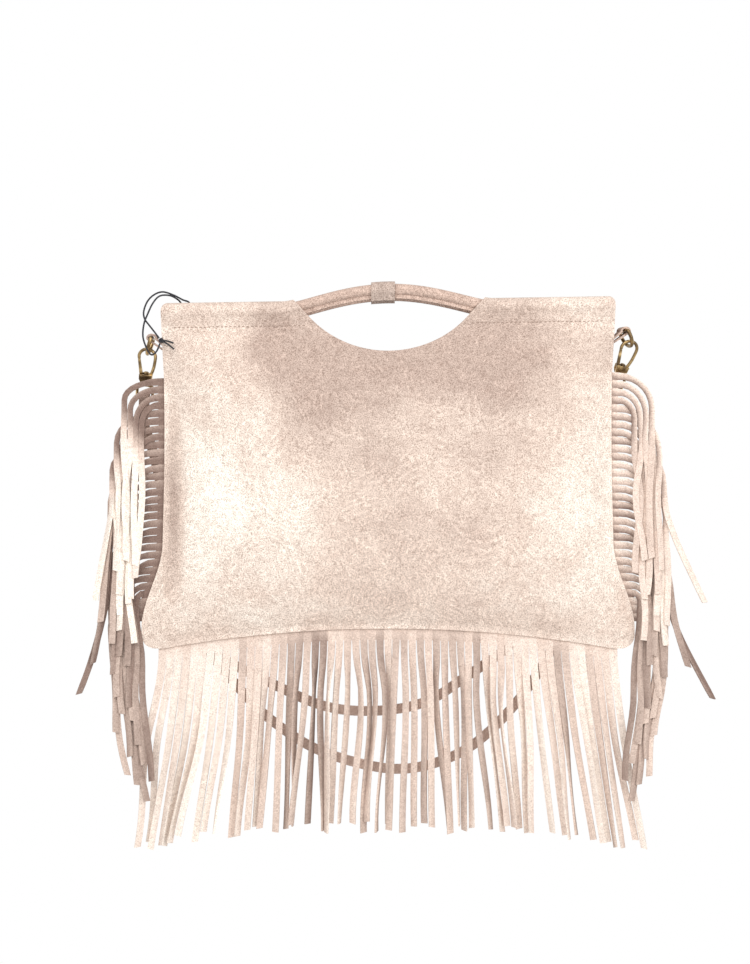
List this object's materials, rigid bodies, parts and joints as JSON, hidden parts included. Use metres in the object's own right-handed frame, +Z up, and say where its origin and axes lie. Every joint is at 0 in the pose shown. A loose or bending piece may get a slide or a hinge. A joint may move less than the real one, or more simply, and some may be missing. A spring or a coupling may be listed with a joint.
{
  "type": "fringed bag",
  "caption": "Soft suede bag with slit fringe at its sides and foot, bar handles over a hand opening, and a shoulder strap clipped to side rings by swivel snap hooks.",
  "frame": {"origin": "underside of the two handles, halfway between them, where a hand or a hook lifts the bag", "axes": "+X to the right in front view, +Y from the front panel to the back panel, +Z up as the bag hangs"},
  "size_m": [0.5085, 0.0554, 0.4525],
  "materials": {
    "suede": "distressed pale suede, matt nap with darker mottling",
    "suede_dark": "worn darker suede band",
    "antique_brass": "antique, darkened with rubbed bright edges",
    "rod_steel": "plain bar, hidden in the handles",
    "black_cord": "thin waxed cord"
  },
  "bodies": {
    "bag": {"front_panel": "suede", "back_panel": "suede", "front_handle_cover": "suede", "back_handle_cover": "suede", "front_handle_wrap": "suede_dark", "back_handle_wrap": "suede_dark", "front_handle_rod": "rod_steel", "back_handle_rod": "rod_steel", "bottom_fringe": "suede", "left_fringe": "suede", "right_fringe": "suede", "left_tab": "suede", "right_tab": "suede", "shoulder_strap": "suede", "strap_stud": "antique_brass", "snap_socket": "antique_brass", "snap_stud": "antique_brass", "tag_cord": "black_cord", "tag_cord_knot": "black_cord"},
    "left_ring_body": {"left_ring": "antique_brass"},
    "left_eye_body": {"left_clip_eye": "antique_brass"},
    "left_hook_body": {"left_hook": "antique_brass", "left_gate_pin": "antique_brass"},
    "left_gate_body": {"left_gate": "antique_brass"},
    "right_ring_body": {"right_ring": "antique_brass"},
    "right_eye_body": {"right_clip_eye": "antique_brass"},
    "right_hook_body": {"right_hook": "antique_brass", "right_gate_pin": "antique_brass"},
    "right_gate_body": {"right_gate": "antique_brass"}
  },
  "joints": [
    {"name": "left_ring_swing", "type": "hinge", "parent": "bag", "child": "left_ring_body", "pos_m": [-0.1886, 0, -0.02905], "axis": [0, 1, 0], "range_deg": [-4, 10]},
    {"name": "left_clip_swing", "type": "hinge", "parent": "left_ring_body", "child": "left_eye_body", "pos_m": [-0.1924, 0, -0.04148], "axis": [0, 1, 0], "range_deg": [-13.8, 5.6]},
    {"name": "left_hook_swivel", "type": "hinge", "parent": "left_eye_body", "child": "left_hook_body", "pos_m": [-0.1924, 0, -0.04148], "axis": [0.1113, -0.4067, 0.9067], "range_deg": [-25, 25]},
    {"name": "left_gate_open", "type": "hinge", "parent": "left_hook_body", "child": "left_gate_body", "pos_m": [-0.19819, 0.00773, -0.05826], "axis": [0.0496, 0.9135, 0.4037], "range_deg": [0, 15], "stiffness_Nm_per_rad": 0.02, "springref_deg": -22.92},
    {"name": "right_ring_swing", "type": "hinge", "parent": "bag", "child": "right_ring_body", "pos_m": [0.1886, 0, -0.02335], "axis": [-0.2756, 0.9613, 0], "range_deg": [-5, 4]},
    {"name": "right_clip_swing", "type": "hinge", "parent": "right_ring_body", "child": "right_eye_body", "pos_m": [0.19388, 0.00151, -0.03513], "axis": [-0.2756, 0.9613, 0], "range_deg": [-5.6, 7]},
    {"name": "right_hook_swivel", "type": "hinge", "parent": "right_eye_body", "child": "right_hook_body", "pos_m": [0.19388, 0.00151, -0.03513], "axis": [0.3097, -0.3343, 0.8901], "range_deg": [-25, 25]},
    {"name": "right_gate_open", "type": "hinge", "parent": "right_hook_body", "child": "right_gate_body", "pos_m": [0.18453, 0.00687, -0.05121], "axis": [-0.1639, 0.9034, 0.3963], "range_deg": [0, 15], "stiffness_Nm_per_rad": 0.02, "springref_deg": -22.92}
  ],
  "couplings": [
    {"joint": "left_clip_swing", "follows": "left_ring_swing", "ratio": -1.3745},
    {"joint": "right_clip_swing", "follows": "right_ring_swing", "ratio": -1.3745}
  ]
}
